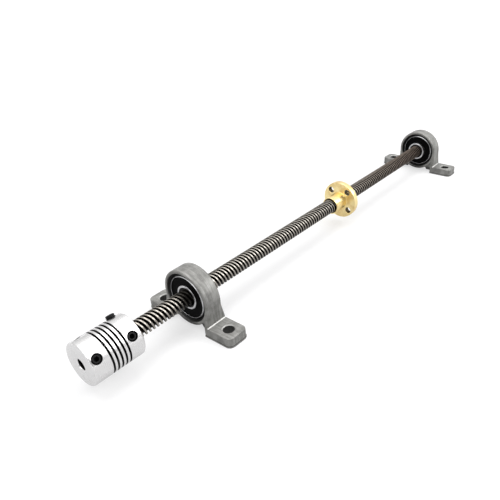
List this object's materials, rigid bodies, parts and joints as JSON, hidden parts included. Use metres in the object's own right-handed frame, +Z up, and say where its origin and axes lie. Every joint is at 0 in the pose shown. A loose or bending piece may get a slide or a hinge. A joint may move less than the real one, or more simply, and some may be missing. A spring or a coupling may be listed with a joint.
{
  "type": "trapezoidal lead screw with flange nut, pillow blocks and coupling",
  "caption": "Four-start trapezoidal lead screw in two pillow block bearings, with a brass flange nut and a flexible shaft coupling, for small linear drives",
  "frame": {"origin": "the middle of the drive block's two foot holes, on the surface that the feet rest on", "axes": "+X runs along the screw from the coupling to the support block, +Z is up, square to the feet, and +Y is the drive block's left looking along +X"},
  "size_m": [0.3009, 0.0544, 0.0286],
  "materials": {
    "screw_steel": "rolled steel thread with a thin film of oil, warm grey crests and near-black grooves",
    "nut_brass": "turned brass with fine tool marks",
    "cast_zinc": "matt die-cast grey zinc alloy with a faint grain",
    "bearing_steel": "ground bearing steel",
    "cage_steel": "plain pressed steel",
    "seal_rubber": "black moulded rubber",
    "turned_aluminium": "bright turned aluminium",
    "black_steel": "black oxide on hardened steel"
  },
  "bodies": {
    "frame": {"drive_housing": "cast_zinc", "drive_outer_ring": "bearing_steel", "drive_motor_side_seal": "seal_rubber", "drive_nut_side_seal": "seal_rubber", "support_housing": "cast_zinc", "support_outer_ring": "bearing_steel", "support_end_side_seal": "seal_rubber", "support_nut_side_seal": "seal_rubber"},
    "screw": {"lead_screw": "screw_steel", "drive_inner_ring": "bearing_steel", "drive_collar_screw_a": "black_steel", "drive_collar_screw_b": "black_steel", "support_inner_ring": "bearing_steel", "support_collar_screw_a": "black_steel", "support_collar_screw_b": "black_steel", "coupling_body": "turned_aluminium", "motor_grub_screw_a": "black_steel", "motor_grub_screw_b": "black_steel", "shaft_grub_screw_a": "black_steel", "shaft_grub_screw_b": "black_steel"},
    "nut": {"flange_nut": "nut_brass"},
    "drive_ball_set": {"drive_balls": "bearing_steel", "drive_cage": "cage_steel"},
    "support_ball_set": {"support_balls": "bearing_steel", "support_cage": "cage_steel"}
  },
  "joints": [
    {"name": "screw_turn", "type": "hinge", "parent": "frame", "child": "screw", "pos_m": [0, 0, 0.015], "axis": [1, 0, 0], "range_deg": [-4275, 4410]},
    {"name": "nut_travel", "type": "slide", "parent": "frame", "child": "nut", "axis": [1, 0, 0], "range_m": [-0.0985, 0.0955]},
    {"name": "drive_balls_turn", "type": "hinge", "parent": "frame", "child": "drive_ball_set", "pos_m": [0, 0, 0.015], "axis": [1, 0, 0], "range_deg": [-1640, 1690]},
    {"name": "support_balls_turn", "type": "hinge", "parent": "frame", "child": "support_ball_set", "pos_m": [0.2266, 0, 0.015], "axis": [1, 0, 0], "range_deg": [-1640, 1690]}
  ],
  "couplings": [
    {"joint": "nut_travel", "follows": "screw_turn", "m_per_rad": -0.0012732},
    {"joint": "drive_balls_turn", "follows": "screw_turn", "ratio": 0.38014},
    {"joint": "support_balls_turn", "follows": "screw_turn", "ratio": 0.38014}
  ]
}
